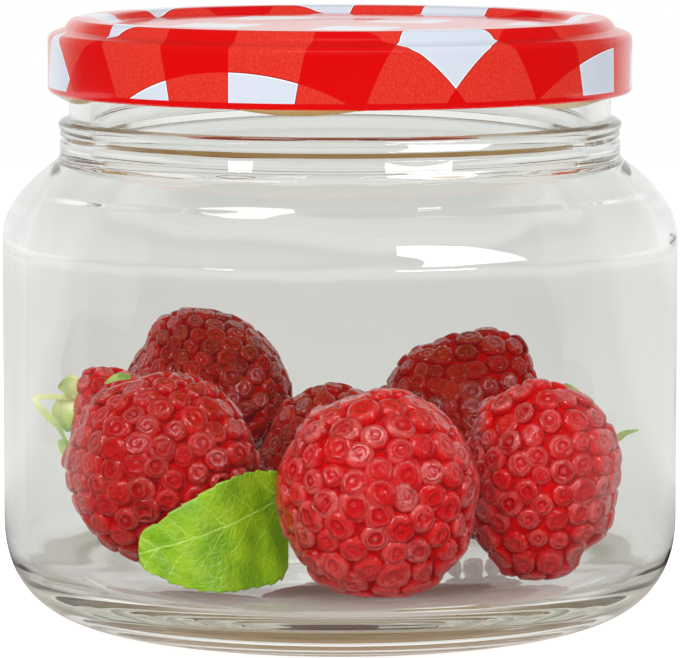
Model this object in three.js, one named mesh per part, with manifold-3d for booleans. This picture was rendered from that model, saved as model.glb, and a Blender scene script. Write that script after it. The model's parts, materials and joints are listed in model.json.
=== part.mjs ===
// A clear glass storage jar with a round shoulder, closed by a twist-off tinplate lid, with seven
// fresh berries, a leaf and a few green sepals inside. Millimetres, +Z up. The origin is the
// centre of the ring that the jar stands on, and the front of the jar faces -Y.

import * as THREE from "three";
import { ConvexHull } from "three/addons/math/ConvexHull.js";
import { mergeVertices } from "three/addons/utils/BufferGeometryUtils.js";
import Module from "manifold-3d";

const wasm = await Module();
wasm.setup();

// Driving dimensions.
const SEGMENTS = 48; // round the jar and the lid: a multiple of the number of threads
const LUGS = 6; // threads on the glass, and lugs under the lid's edge
const FIRST_LUG = -8; // degrees from the front towards +X

const GLASS = {
  radius: 42,
  bore: 39.2, // inside radius of the body
  footInner: 27,
  footOuter: 29.4,
  punt: 1.6, // how far the bottom is pushed up in the middle
  heel: 12.9, // height at which the heel meets the wall
  heelFullness: 2.3, // 2 is an ellipse, and more is squarer
  floor: 5.2,
  floorRadius: 33,
  floorRise: 0.4,
  innerHeel: 10.8,
  wallTop: 47,
  shoulderFullness: 2.6,
  innerWallTop: 45.5,
  neckRadius: 34.76,
  neckBottom: 57.3,
  neckTop: 60.1,
  mouthRadius: 31,
  finishRadius: 33.6,
  top: 73.7,
};
// The bead under the threads: a groove, a step and a lip, each as [radius, height].
const BEAD = { groove: [34.4, 60.4], step: [34.62, 61.2], lip: [34.96, 62.15], top: 62.8 };
const THREAD = { depth: 0.9, height: 67.9, halfHeight: 1.0, halfAngle: 17 };

const LID = {
  radius: 36.2,
  sheet: 0.35,
  bottom: 65.5,
  curl: 1.3, // height and width of the rolled edge
  skirtTop: 71.9,
  ledgeOuter: 35.4,
  ledgeInner: 34.1,
  ledgeHeight: 72.95,
  ledgeRise: 0.5,
  ringOuter: 32.8,
  ringInner: 31.1,
  top: 74.65,
  panelRadius: 28.6,
  panel: 73.65,
};
const LUG = { depth: 0.92, drop: 0.75, halfAngle: 12 };

const DRUPELETS = 100; // on each berry
const RELIEF = 0.9; // depth of the valleys between them

// Centre, half sizes along X, Y and Z, the way its tip points, and how much it narrows there.
const BERRIES = {
  berry_front_left: { at: [-21.1, -16.9, 20.1], half: [11.6, 10.3, 11.8], tip: [0.2, -0.9, -0.4], taper: 0.08 },
  berry_back_left: { at: [-17.7, 20.1, 27.2], half: [10.7, 9.8, 9.7], tip: [-0.35, 0.1, 0.95], taper: 0.26 },
  berry_far_left: { at: [-24, 2.7, 20.5], half: [9.1, 8.8, 9.8], tip: [1, 0.1, -0.15], taper: 0.14 },
  berry_back_centre: { at: [-1.1, 5.2, 17.5], half: [9.5, 9.2, 11.2], tip: [0.1, 0.2, 0.9], taper: 0.08 },
  berry_front_centre: { at: [4.2, -25, 18.4], half: [12.2, 10.9, 12.9], tip: [-0.1, -0.95, -0.1], taper: 0.05 },
  berry_back_right: { at: [15.4, 18.6, 20.7], half: [11.4, 9.8, 13.4], tip: [0.6, 0.1, 0.85], taper: 0.22 },
  berry_front_right: { at: [24.1, -9, 17.8], half: [9.5, 10.6, 12.1], tip: [-0.25, -0.5, -0.8], taper: 0.1 },
};
const STEM_FULLNESS = 2.5; // how square a berry is at its stem end: 2 is round

const LEAF = { thickness: 0.4, wave: 0.35, waves: 2.5 };
// The leaf stands on edge behind the glass. Its bend is seen from above, from the free end at the
// left to the end tucked behind the front berry.
const LEAF_BEND = [[-23.5, -28.3], [-20, -28.1], [-16, -27.1], [-12, -24.4], [-9, -20.9], [-6.5, -18.3]];
const LEAF_UPPER = [12.9, 16.6, 18.6, 20.6, 21.2, 21, 20.6];
const LEAF_LOWER = [12.1, 9.2, 7.6, 6.9, 7, 7.6, 8.6];

// A sepal: the points it runs through, its width and how thick it is.
const SEPALS = {
  sepals_left: [
    {
      path: [[-33.6, 2.6, 26.4], [-35.8, 1.6, 26.7], [-38.2, 0.9, 26.9], [-36.9, -0.1, 25], [-35.2, -1, 22.2], [-33.9, -1.6, 18.4]],
      width: 0.9,
      facing: [0, -1, 0.3],
    },
    { path: [[-33, 2.8, 26.8], [-34.4, 2, 28], [-36.3, 1.4, 27.9]], width: 3, facing: [0.2, -1, 0.4] },
    { path: [[-33.4, 2.8, 26.8], [-35.2, 2.4, 25.2], [-34.9, 2, 22.4]], width: 3.2, facing: [-0.3, -1, 0] },
  ],
  sepals_right: [
    {
      path: [[30.6, 2.4, 23.6], [32.8, 1, 21.9], [34.3, -0.2, 21.9], [35.7, -0.8, 22.7], [37.9, -1.2, 23.2]],
      width: 1.1,
      facing: [0, -1, 0.4],
    },
    { path: [[30.6, 2.2, 23.8], [30.8, 0.8, 26.2], [29.5, -1.4, 27.6], [28.3, -3, 28.7]], width: 1.5, facing: [0.5, -0.5, 1] },
  ],
};
const SEPAL_THICKNESS = 0.5;
const SEPAL_HUB = 1.1;

const rad = THREE.MathUtils.degToRad;

// Appends to an outline of [radius, height] points. A corner is rounded as a quarter of a
// superellipse that leaves the last point towards the corner and arrives from it at the end.
class Outline {
  constructor(radius, height) {
    this.points = [new THREE.Vector2(radius, height)];
  }

  line(radius, height) {
    this.points.push(new THREE.Vector2(radius, height));
    return this;
  }

  round(corner, end, steps, fullness = 2) {
    const start = this.points.at(-1).clone();
    const [k, e] = [new THREE.Vector2(...corner), new THREE.Vector2(...end)];
    const centre = start.clone().add(e).sub(k);
    for (let i = 1; i <= steps; i++) {
      const angle = (i / steps) * (Math.PI / 2);
      const out = Math.cos(angle) ** (2 / fullness);
      const up = Math.sin(angle) ** (2 / fullness);
      this.points.push(
        centre.clone().addScaledVector(start.clone().sub(centre), i === steps ? 0 : out)
          .addScaledVector(e.clone().sub(centre), up),
      );
    }
    return this;
  }
}

// How close an angle is to the nearest lug: 1 in its middle, 0 from its end on.
function lugShare(angle, halfAngle) {
  const step = 360 / LUGS;
  const away = THREE.MathUtils.euclideanModulo(angle - FIRST_LUG + step / 2, step) - step / 2;
  return Math.abs(away) < halfAngle ? Math.cos((away / halfAngle) * (Math.PI / 2)) : 0;
}

// Turns an outline round the Z axis. The shape function moves each point by [outwards, upwards].
function turned(outline, shape) {
  const geometry = new THREE.LatheGeometry(outline.points, SEGMENTS, rad(FIRST_LUG), Math.PI * 2);
  geometry.rotateX(Math.PI / 2);
  const position = geometry.getAttribute("position");
  for (let i = 0; i < position.count; i++) {
    const [x, y, z] = [position.getX(i), position.getY(i), position.getZ(i)];
    const radius = Math.hypot(x, y);
    if (radius < 1) continue;
    const [outwards, upwards] = shape(THREE.MathUtils.radToDeg(Math.atan2(x, -y)), radius, z);
    const scale = (radius + outwards) / radius;
    position.setXYZ(i, x * scale, y * scale, z + upwards);
  }
  return geometry;
}

function jarGlass() {
  const g = GLASS;
  const outline = new Outline(0, g.punt)
    .round([g.footInner * 0.75, g.punt], [g.footInner, 0], 3)
    .line(g.footOuter, 0)
    .round([g.radius, 0], [g.radius, g.heel], 8, g.heelFullness)
    .line(g.radius, g.wallTop)
    .round([g.radius, g.wallTop + 5.2], [g.neckRadius + 0.6, g.neckBottom - 0.4], 7, g.shoulderFullness)
    .round([g.neckRadius, g.neckBottom], [g.neckRadius, g.neckBottom + 0.7], 2)
    .line(g.neckRadius, g.neckTop)
    .line(...BEAD.groove)
    .line(...BEAD.step)
    .line(...BEAD.lip)
    .round([BEAD.lip[0], BEAD.top], [g.finishRadius, BEAD.top], 3);
  for (const share of [-1, -0.6, 0, 0.6, 1]) {
    outline.line(g.finishRadius, THREAD.height + share * THREAD.halfHeight);
  }
  outline
    .line(g.finishRadius, g.top - 1.4)
    .round([g.finishRadius, g.top], [(g.finishRadius + g.mouthRadius) / 2, g.top], 3)
    .round([g.mouthRadius, g.top], [g.mouthRadius, g.top - 1.2], 2)
    .line(g.mouthRadius, g.neckBottom + 1.7)
    .round([g.mouthRadius, g.neckBottom - 0.3], [g.mouthRadius + 1.6, g.neckBottom - 1.4], 2)
    .round([g.bore, g.innerWallTop + 5], [g.bore, g.innerWallTop], 6, g.shoulderFullness)
    .line(g.bore, g.innerHeel)
    .round([g.bore, g.floor], [g.floorRadius, g.floor], 6, g.heelFullness)
    .line(0, g.floor + g.floorRise);
  return turned(outline, (angle, radius, height) => {
    const across = 1 - ((height - THREAD.height) / (THREAD.halfHeight * 1.001)) ** 2;
    const outside = radius > g.finishRadius - 0.1;
    const swell = outside && across > 0 ? Math.sqrt(across) : 0;
    return [THREAD.depth * swell * lugShare(angle, THREAD.halfAngle), 0];
  });
}

function tinLid() {
  const l = LID;
  const t = l.sheet;
  const inside = l.radius - t;
  const curlInner = l.radius - l.curl;
  const outline = new Outline(0, l.panel - t)
    .line(l.panelRadius - t, l.panel - t)
    .round([l.ringInner - 1.4, l.panel - t], [l.ringInner - 0.4, l.top - t - 0.3], 2)
    .line(l.ringInner, l.top - t)
    .line(l.ringOuter - 0.15, l.top - t)
    .round([l.ledgeInner - 0.9, l.top - t], [l.ledgeInner - 0.3, l.ledgeHeight + l.ledgeRise - t], 2)
    .line(l.ledgeOuter - 0.15, l.ledgeHeight - t)
    .round([inside, l.ledgeHeight - t - 0.1], [inside, l.skirtTop - t], 2)
    .line(inside, l.bottom + l.curl + 0.3)
    .line(curlInner + 0.1, l.bottom + l.curl)
    .line(curlInner, l.bottom + l.curl / 2)
    .round([curlInner, l.bottom], [curlInner + l.curl / 2, l.bottom], 2)
    .round([l.radius, l.bottom], [l.radius, l.bottom + l.curl / 2], 3)
    .line(l.radius, l.skirtTop)
    .round([l.radius, l.ledgeHeight - 0.1], [l.ledgeOuter, l.ledgeHeight], 3)
    .line(l.ledgeInner, l.ledgeHeight + l.ledgeRise)
    .round([l.ledgeInner - 0.6, l.top], [l.ringOuter, l.top], 4)
    .line(l.ringInner, l.top)
    .round([l.ringInner - 1, l.top], [l.ringInner - 1.5, (l.top + l.panel) / 2], 2)
    .round([l.ringInner - 2, l.panel], [l.panelRadius, l.panel], 2)
    .line(0, l.panel);
  return turned(outline, (angle, radius, height) => {
    if (height > l.bottom + l.curl + 0.1 || radius > curlInner + l.curl * 0.6) return [0, 0];
    const share = lugShare(angle, LUG.halfAngle);
    const low = THREE.MathUtils.clamp((l.bottom + l.curl - height) / l.curl, 0, 1);
    return [-LUG.depth * share, -LUG.drop * share * low];
  });
}

// A berry: a rounded body whose surface is split into the cells round evenly spread points. Each
// cell is one drupelet, raised in its middle and low where it meets its neighbours.
function berry({ at, half, tip, taper }) {
  const axis = new THREE.Vector3(...tip).normalize();
  const turn = new THREE.Quaternion().setFromUnitVectors(new THREE.Vector3(0, 0, 1), axis);
  const golden = Math.PI * (1 + Math.sqrt(5));
  const middles = Array.from({ length: DRUPELETS }, (_, i) => {
    const polar = Math.acos(1 - (2 * (i + 0.5)) / DRUPELETS);
    return new THREE.Vector3().setFromSphericalCoords(1, polar, golden * i)
      .applyAxisAngle(new THREE.Vector3(1, 0, 0), Math.PI / 2).applyQuaternion(turn);
  });
  const place = (direction, sink) => {
    const along = direction.dot(axis);
    const across = direction.clone().addScaledVector(axis, -along);
    const reach = across.length();
    const blunt = along < 0 ? 2 / STEM_FULLNESS : 1;
    const width = (1 - taper * along) * reach ** (blunt - 1);
    return across.multiplyScalar(width).addScaledVector(axis, Math.sign(along) * Math.abs(along) ** blunt)
      .multiply(new THREE.Vector3(...half).subScalar(sink))
      .add(new THREE.Vector3(...at));
  };
  const hull = new ConvexHull().setFromPoints(middles);
  const valleys = new Map(hull.faces.map((face) => {
    return [face, place(face.midpoint.clone().normalize(), RELIEF)];
  }));
  const corners = [];
  for (const face of hull.faces) {
    let edge = face.edge;
    do {
      corners.push(place(edge.tail().point, 0), valleys.get(edge.twin.face), valleys.get(face));
      edge = edge.next;
    } while (edge !== face.edge);
  }
  return new THREE.BufferGeometry().setFromPoints(corners);
}

// Closes two like grids of points, front and back, into one thin solid.
function sheet(front, back) {
  const [rows, columns] = [front.length, front[0].length];
  const corners = [];
  const quad = (a, b, c, d) => corners.push(a, b, c, a, c, d);
  for (let i = 0; i + 1 < rows; i++) {
    for (let j = 0; j + 1 < columns; j++) {
      quad(front[i][j], front[i + 1][j], front[i + 1][j + 1], front[i][j + 1]);
      quad(back[i][j], back[i][j + 1], back[i + 1][j + 1], back[i + 1][j]);
    }
    quad(front[i][0], back[i][0], back[i + 1][0], front[i + 1][0]);
    quad(front[i][columns - 1], front[i + 1][columns - 1], back[i + 1][columns - 1], back[i][columns - 1]);
  }
  for (let j = 0; j + 1 < columns; j++) {
    quad(front[0][j], front[0][j + 1], back[0][j + 1], back[0][j]);
    quad(front[rows - 1][j], back[rows - 1][j], back[rows - 1][j + 1], front[rows - 1][j + 1]);
  }
  return new THREE.BufferGeometry().setFromPoints(corners);
}

function leaf() {
  const bend = new THREE.SplineCurve(LEAF_BEND.map(([x, y]) => new THREE.Vector2(x, y)));
  const edge = (heights) => {
    const spread = heights.map((z, i) => new THREE.Vector2(i / (heights.length - 1), z));
    return new THREE.SplineCurve(spread);
  };
  const [upper, lower] = [edge(LEAF_UPPER), edge(LEAF_LOWER)];
  const [rows, columns] = [13, 7];
  const grid = (side) => Array.from({ length: rows }, (_, i) => {
    const u = i / (rows - 1);
    const at = bend.getPoint(u);
    const tangent = bend.getTangent(u);
    return Array.from({ length: columns }, (_, j) => {
      const v = j / (columns - 1);
      const wave = LEAF.wave * Math.sin(u * LEAF.waves * Math.PI * 2) * (2 * v - 1) ** 2;
      const out = wave * Math.sin(u * Math.PI) + (side * LEAF.thickness) / 2;
      const height = THREE.MathUtils.lerp(lower.getPoint(u).y, upper.getPoint(u).y, v);
      return new THREE.Vector3(at.x + tangent.y * out, at.y - tangent.x * out, height);
    });
  });
  return sheet(grid(1), grid(-1));
}

// One sepal: a narrow blade, widest in its middle, with a point at its far end.
function blade({ path, width, facing }) {
  const curve = new THREE.CatmullRomCurve3(path.map((p) => new THREE.Vector3(...p)));
  const steps = path.length * 2;
  const grid = (side) => Array.from({ length: steps + 1 }, (_, i) => {
    const u = i / steps;
    const at = curve.getPoint(u);
    const normal = new THREE.Vector3(...facing).normalize();
    const across = curve.getTangent(u).cross(normal).normalize();
    const half = (width / 2) * (0.25 + 0.75 * Math.sin(Math.PI * Math.min(1, 0.15 + 0.8 * u)));
    return [-1, 0, 1].map((v) => {
      const thick = (SEPAL_THICKNESS / 2) * (1 - 0.4 * v * v);
      return at.clone().addScaledVector(across, half * v).addScaledVector(normal, side * thick);
    });
  });
  return sheet(grid(-1), grid(1));
}

function solid(geometry) {
  const bare = geometry.index ? geometry.toNonIndexed() : geometry;
  const position = new THREE.BufferGeometry().setAttribute("position", bare.getAttribute("position"));
  const merged = mergeVertices(position, 1e-4);
  return new wasm.Manifold(new wasm.Mesh({
    numProp: 3,
    vertProperties: merged.getAttribute("position").array,
    triVerts: new Uint32Array(merged.index.array),
  }));
}

function joined(geometries) {
  const mesh = geometries.map(solid).reduce((whole, piece) => whole.add(piece)).getMesh();
  return new THREE.BufferGeometry()
    .setAttribute("position", new THREE.BufferAttribute(new Float32Array(mesh.vertProperties), 3))
    .setIndex(new THREE.BufferAttribute(new Uint32Array(mesh.triVerts), 1));
}

// The sepals of one berry, joined where they leave its stem.
function sepals(blades) {
  const hub = new THREE.IcosahedronGeometry(SEPAL_HUB, 1);
  hub.translate(...blades[0].path[0]);
  return joined([hub, ...blades.map(blade)]);
}

const glass = new THREE.MeshStandardMaterial({
  color: 0xdfe4e0, roughness: 0.03, metalness: 0, transparent: true, opacity: 0.3,
});
const lacquer = new THREE.MeshStandardMaterial({ color: 0xe20a08, roughness: 0.18, metalness: 0.3 });
const ripe = new THREE.MeshStandardMaterial({ color: 0xc01822, roughness: 0.4, metalness: 0 });
const fresh = new THREE.MeshStandardMaterial({ color: 0x82be1e, roughness: 0.5, metalness: 0 });

const jar = new THREE.Group();

function add(name, geometry, material) {
  const mesh = new THREE.Mesh(geometry, material);
  mesh.name = name;
  jar.add(mesh);
}

add("jar_glass", jarGlass(), glass);
add("lid", tinLid(), lacquer);
for (const [name, shape] of Object.entries(BERRIES)) {
  add(name, berry(shape), ripe);
}
add("leaf", leaf(), fresh);
for (const [name, blades] of Object.entries(SEPALS)) {
  add(name, sepals(blades), fresh);
}

export default jar;
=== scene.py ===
# %% [markdown]
# # A glass jar of fresh berries
#
# The object is a squat storage jar of clear glass, shut by a twist-off tinplate lid with a
# checked print, and inside it lie seven berries, a leaf and the green tips of two stems.
# The packed model gives every piece its place and size. This lesson gives each piece its
# fine surface and its finish, then sets up a small studio, and it never moves a packed part.

# %% Load the frame and measure it
import json
import math

import bpy
import numpy as np
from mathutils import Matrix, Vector

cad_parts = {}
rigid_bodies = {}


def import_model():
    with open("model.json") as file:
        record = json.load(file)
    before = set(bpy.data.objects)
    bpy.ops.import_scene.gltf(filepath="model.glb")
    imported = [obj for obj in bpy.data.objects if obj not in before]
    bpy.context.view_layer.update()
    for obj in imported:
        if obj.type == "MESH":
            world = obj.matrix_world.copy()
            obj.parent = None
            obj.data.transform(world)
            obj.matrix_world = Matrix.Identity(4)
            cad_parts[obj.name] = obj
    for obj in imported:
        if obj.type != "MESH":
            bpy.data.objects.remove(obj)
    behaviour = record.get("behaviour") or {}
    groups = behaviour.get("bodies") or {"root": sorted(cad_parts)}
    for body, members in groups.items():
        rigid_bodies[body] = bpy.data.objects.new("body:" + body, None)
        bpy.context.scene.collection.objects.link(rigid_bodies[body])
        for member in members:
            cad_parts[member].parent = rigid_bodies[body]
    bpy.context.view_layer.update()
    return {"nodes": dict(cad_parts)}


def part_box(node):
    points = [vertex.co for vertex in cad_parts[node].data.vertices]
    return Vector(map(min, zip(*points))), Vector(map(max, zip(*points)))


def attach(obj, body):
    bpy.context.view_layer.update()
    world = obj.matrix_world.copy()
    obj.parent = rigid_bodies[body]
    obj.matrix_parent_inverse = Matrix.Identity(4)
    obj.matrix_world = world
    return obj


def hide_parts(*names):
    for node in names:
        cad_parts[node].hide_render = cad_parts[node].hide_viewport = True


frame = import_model()
MM = 0.001
JAR_LOW, JAR_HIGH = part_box("jar_glass")
LID_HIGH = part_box("lid")[1]
print("nodes:", ", ".join(sorted(frame["nodes"])))
print(f"jar {(JAR_HIGH.x - JAR_LOW.x) / MM:.1f} mm wide, whole {LID_HIGH.z / MM:.1f} mm tall")

# %% [markdown]
# ## The camera
#
# A photographer shoots such a jar from a little above, with a long lens from over half a
# metre, so that the sides stay upright. Other lenses could frame it too, but the flat
# ellipses of the lid and of the base only come out right at this height and distance.

# %% Place the camera
CAMERA_BACK = 0.59436
CAMERA_HEIGHT = 0.10497
CAMERA_DOWN = math.radians(6.646)
LENS_MM = 253.7


def in_scene(name, data):
    """A new object that holds data, linked to the scene."""
    thing = bpy.data.objects.new(name, data)
    bpy.context.scene.collection.objects.link(thing)
    return thing


camera = in_scene("camera", bpy.data.cameras.new("camera"))
camera.location = (0, -CAMERA_BACK, CAMERA_HEIGHT)
camera.rotation_euler = (math.pi / 2 - CAMERA_DOWN, 0, 0)
camera.data.lens = LENS_MM
camera.data.clip_start = 0.01
camera.data.clip_end = 20
bpy.context.scene.camera = camera
print(f"camera {CAMERA_BACK:.3f} m in front, {CAMERA_HEIGHT:.3f} m up")

# %% [markdown]
# ## Writing node trees as sums
#
# A node tree for a pattern is easier to read as arithmetic than as a list of links. One
# small class wraps a socket and turns Python's operators into Math nodes, and one method
# adds every other kind of node. The same two serve the materials and the Geometry Nodes.


# %% A socket that can be reckoned with
class Term:
    """One value in a node tree. Operators on it add Math nodes to the tree."""

    def __init__(self, graph, socket):
        self.graph = graph
        self.socket = socket

    def math(self, operation, *others):
        inputs = dict(enumerate((self, *others)))
        return self.graph.add("ShaderNodeMath", {"operation": operation}, inputs).out(0)

    def __add__(self, other):
        return self.math("ADD", other)

    __radd__ = __add__

    def __sub__(self, other):
        return self.math("SUBTRACT", other)

    def __rsub__(self, other):
        return (self * -1) + other

    def __mul__(self, other):
        return self.math("MULTIPLY", other)

    __rmul__ = __mul__

    def __truediv__(self, other):
        return self.math("DIVIDE", other)

    def __pow__(self, other):
        return self.math("POWER", other)

    def __mod__(self, other):
        return self.math("FLOORED_MODULO", other)

    def __abs__(self):
        return self.math("ABSOLUTE")

    def least(self, other):
        return self.math("MINIMUM", other)

    def most(self, other):
        return self.math("MAXIMUM", other)

    def between(self, low, high):
        """0 below low, 1 above high, and a smooth rise from one to the other."""
        inputs = {"Value": self, "From Min": low, "From Max": high}
        settings = {"interpolation_type": "SMOOTHSTEP"}
        return self.graph.add("ShaderNodeMapRange", settings, inputs).out(0)


class Made:
    """A node that was added, with its outputs as terms."""

    def __init__(self, graph, node):
        self.graph = graph
        self.node = node

    def out(self, key):
        return Term(self.graph, self.node.outputs[key])


# %% The method that adds any other node
class Graph:
    """A node tree being written."""

    def __init__(self, tree):
        self.tree = tree
        tree.nodes.clear()

    def add(self, kind, settings=None, inputs=None):
        node = self.tree.nodes.new(kind)
        for name, value in (settings or {}).items():
            setattr(node, name, value)
        for key, value in (inputs or {}).items():
            self.feed(node.inputs[key], value)
        return Made(self, node)

    def feed(self, socket, value):
        if isinstance(value, Term):
            self.tree.links.new(value.socket, socket)
        else:
            socket.default_value = value

    def blend(self, share, first, second):
        """A colour between two, by a share from 0 to 1."""
        inputs = {0: share, 6: first, 7: second}
        return self.add("ShaderNodeMix", {"data_type": "RGBA"}, inputs).out(2)

    def place(self):
        """The place of a point on its piece, in metres."""
        return self.add("ShaderNodeTexCoord").out("Object")

    def split(self, vector):
        parts = self.add("ShaderNodeSeparateXYZ", None, {0: vector})
        return parts.out(0), parts.out(1), parts.out(2)

    def scaled(self, vector, factor):
        inputs = {0: vector, "Scale": factor}
        return self.add("ShaderNodeVectorMath", {"operation": "SCALE"}, inputs).out(0)

    def noise(self, place, scale, detail=2.0):
        inputs = {"Vector": place, "Scale": scale, "Detail": detail}
        return self.add("ShaderNodeTexNoise", None, inputs).out(0)

    def attribute(self, name, output="Fac"):
        return self.add("ShaderNodeAttribute", {"attribute_name": name}).out(output)

    def bump(self, strength, distance, height):
        """Normals that lean as if the surface rose and fell by height times distance."""
        inputs = {"Strength": strength, "Distance": distance, "Height": height}
        return self.add("ShaderNodeBump", None, inputs).out(0)


def paint(red, green, blue):
    """A colour as a screen shows it, from 0 to 255, in the linear values of a shader."""
    shares = [channel / 255 for channel in (red, green, blue)]
    linear = [s / 12.92 if s < 0.04045 else ((s + 0.055) / 1.055) ** 2.4 for s in shares]
    return (*linear, 1.0)


def finish_material(name, write):
    """A material with one Principled shader, whose inputs the function write returns."""
    material = bpy.data.materials.new(name)
    material.use_nodes = True
    graph = Graph(material.node_tree)
    shader = graph.add("ShaderNodeBsdfPrincipled", None, write(graph))
    graph.add("ShaderNodeOutputMaterial", None, {"Surface": shader.out(0)})
    return material


operators = [n for n, v in vars(Term).items() if n.startswith("__") and callable(v)]
print("a term knows", len(operators) - 1, "operators")

# %% [markdown]
# ## Turned shapes
#
# Jar and lid are both round, so each is half a section spun about the upright axis. A Screw
# modifier could spin it too. Plain mesh code is used here because the threads and the lugs
# swell out of the turned surface, and a function of the angle moves those points directly.


# %% Draw half a section
class Outline:
    """Half a section as points of radius and height, in millimetres."""

    def __init__(self, radius, height):
        self.points = [np.array([radius, height], float)]

    def line(self, radius, height):
        self.points.append(np.array([radius, height], float))

    def round(self, corner, end, steps, fullness=2.0):
        """A quarter of a superellipse, towards the corner and then to the end."""
        start, corner, end = self.points[-1], np.array(corner, float), np.array(end, float)
        centre = start + end - corner
        for step in range(1, steps + 1):
            angle = step / steps * math.pi / 2
            away = 0 if step == steps else math.cos(angle) ** (2 / fullness)
            up = math.sin(angle) ** (2 / fullness)
            self.points.append(centre + (start - centre) * away + (end - centre) * up)


# %% Spin it into a mesh
SEGMENTS = 192
LUGS = 6
FIRST_LUG = math.radians(-8)


def lug_share(angle, half_angle):
    """1 in the middle of a lug, falling to 0 at its ends."""
    step = 2 * math.pi / LUGS
    away = abs((angle - FIRST_LUG + step / 2) % step - step / 2)
    return math.cos(away / half_angle * math.pi / 2) if away < half_angle else 0.0


def place_mesh(name, vertices, faces, sharp=None):
    """An object at the origin, smooth but for edges sharper than an angle in degrees."""
    mesh = bpy.data.meshes.new(name)
    mesh.from_pydata([tuple(v) for v in vertices], [], faces)
    mesh.validate()
    mesh.shade_smooth()
    if sharp:
        mesh.set_sharp_from_angle(angle=math.radians(sharp))
    return in_scene(name, mesh)


def turned(name, outline, shape, sharp=None):
    """Spins an outline that starts and ends on the axis. shape moves a point in and up."""
    rings = outline.points[1:-1]
    vertices = [(0, 0, outline.points[0][1] * MM)]
    for radius, height in rings:
        for segment in range(SEGMENTS):
            angle = FIRST_LUG + segment / SEGMENTS * 2 * math.pi
            out, up = shape(angle, radius, height)
            reach = (radius + out) * MM
            place = (reach * math.sin(angle), -reach * math.cos(angle), (height + up) * MM)
            vertices.append(place)
    vertices.append((0, 0, outline.points[-1][1] * MM))
    last = len(vertices) - 1
    faces = []
    for segment in range(SEGMENTS):
        following = (segment + 1) % SEGMENTS
        faces.append((0, 1 + following, 1 + segment))
        for ring in range(len(rings) - 1):
            low, high = 1 + ring * SEGMENTS, 1 + (ring + 1) * SEGMENTS
            faces.append((low + segment, low + following, high + following, high + segment))
        top = 1 + (len(rings) - 1) * SEGMENTS
        faces.append((top + segment, top + following, last))
    return place_mesh(name, vertices, faces, sharp)


def dress(piece, slot, *nodes):
    """Hands a finished piece over to the frame."""
    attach(piece, "root")
    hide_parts(*nodes)
    print(f"{piece.name}: {len(piece.data.polygons)} faces, stands for {', '.join(nodes)}")


# %% [markdown]
# ## The jar
#
# The jar is pressed and blown soda glass: an even wall, a heavy rounded heel, a base pushed
# up in the middle, a round shoulder, and a neck with a bead under the threads. The inner
# face of blown glass is never quite true, and that slight waviness is what bends the light
# into streaks, so it is modelled. The outside is smooth, as the mould left it. A colour
# inside the glass would need a volume, which is slow, so only the heel is tinted.

# %% Sizes of the glass
GLASS = {
    "radius": JAR_HIGH.x / MM,
    "bore": 39.2,
    "foot_inner": 27.0,
    "foot_outer": 29.4,
    "punt": 1.6,
    "punt_share": 0.75,
    "heel": 12.9,
    "heel_fullness": 2.3,
    "floor": 5.2,
    "floor_radius": 33.0,
    "floor_rise": 0.4,
    "inner_heel": 10.8,
    "wall_top": 47.0,
    "shoulder_fullness": 2.6,
    "shoulder_rise": 5.2,
    "inner_wall_top": 45.5,
    "inner_shoulder_rise": 5.0,
    "neck_radius": 34.76,
    "neck_bottom": 57.3,
    "neck_top": 59.5,
    "mouth_radius": 31.0,
    "finish_radius": 33.6,
    "top": JAR_HIGH.z / MM,
}
BEAD = [(34.4, 59.8), (34.78, 60.4), (34.62, 60.6), (34.96, 61.6)]
BEAD_TOP = 62.25
THREAD = {"depth": 0.6, "height": 67.9, "half_height": 1.0, "half_angle": math.radians(17)}
WAVINESS = 0.12
# The heel's tint is the olive of thick glass, made darker than glass alone as painted shade.
OLIVE_AND_PAINTED_SHADE = (0.51, 0.51, 0.42, 1)
NEARLY_CLEAR = (0.97, 0.98, 0.965, 1)
print(f"wall {GLASS['radius'] - GLASS['bore']:.1f} mm, base {GLASS['floor']:.1f} mm thick")


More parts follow.
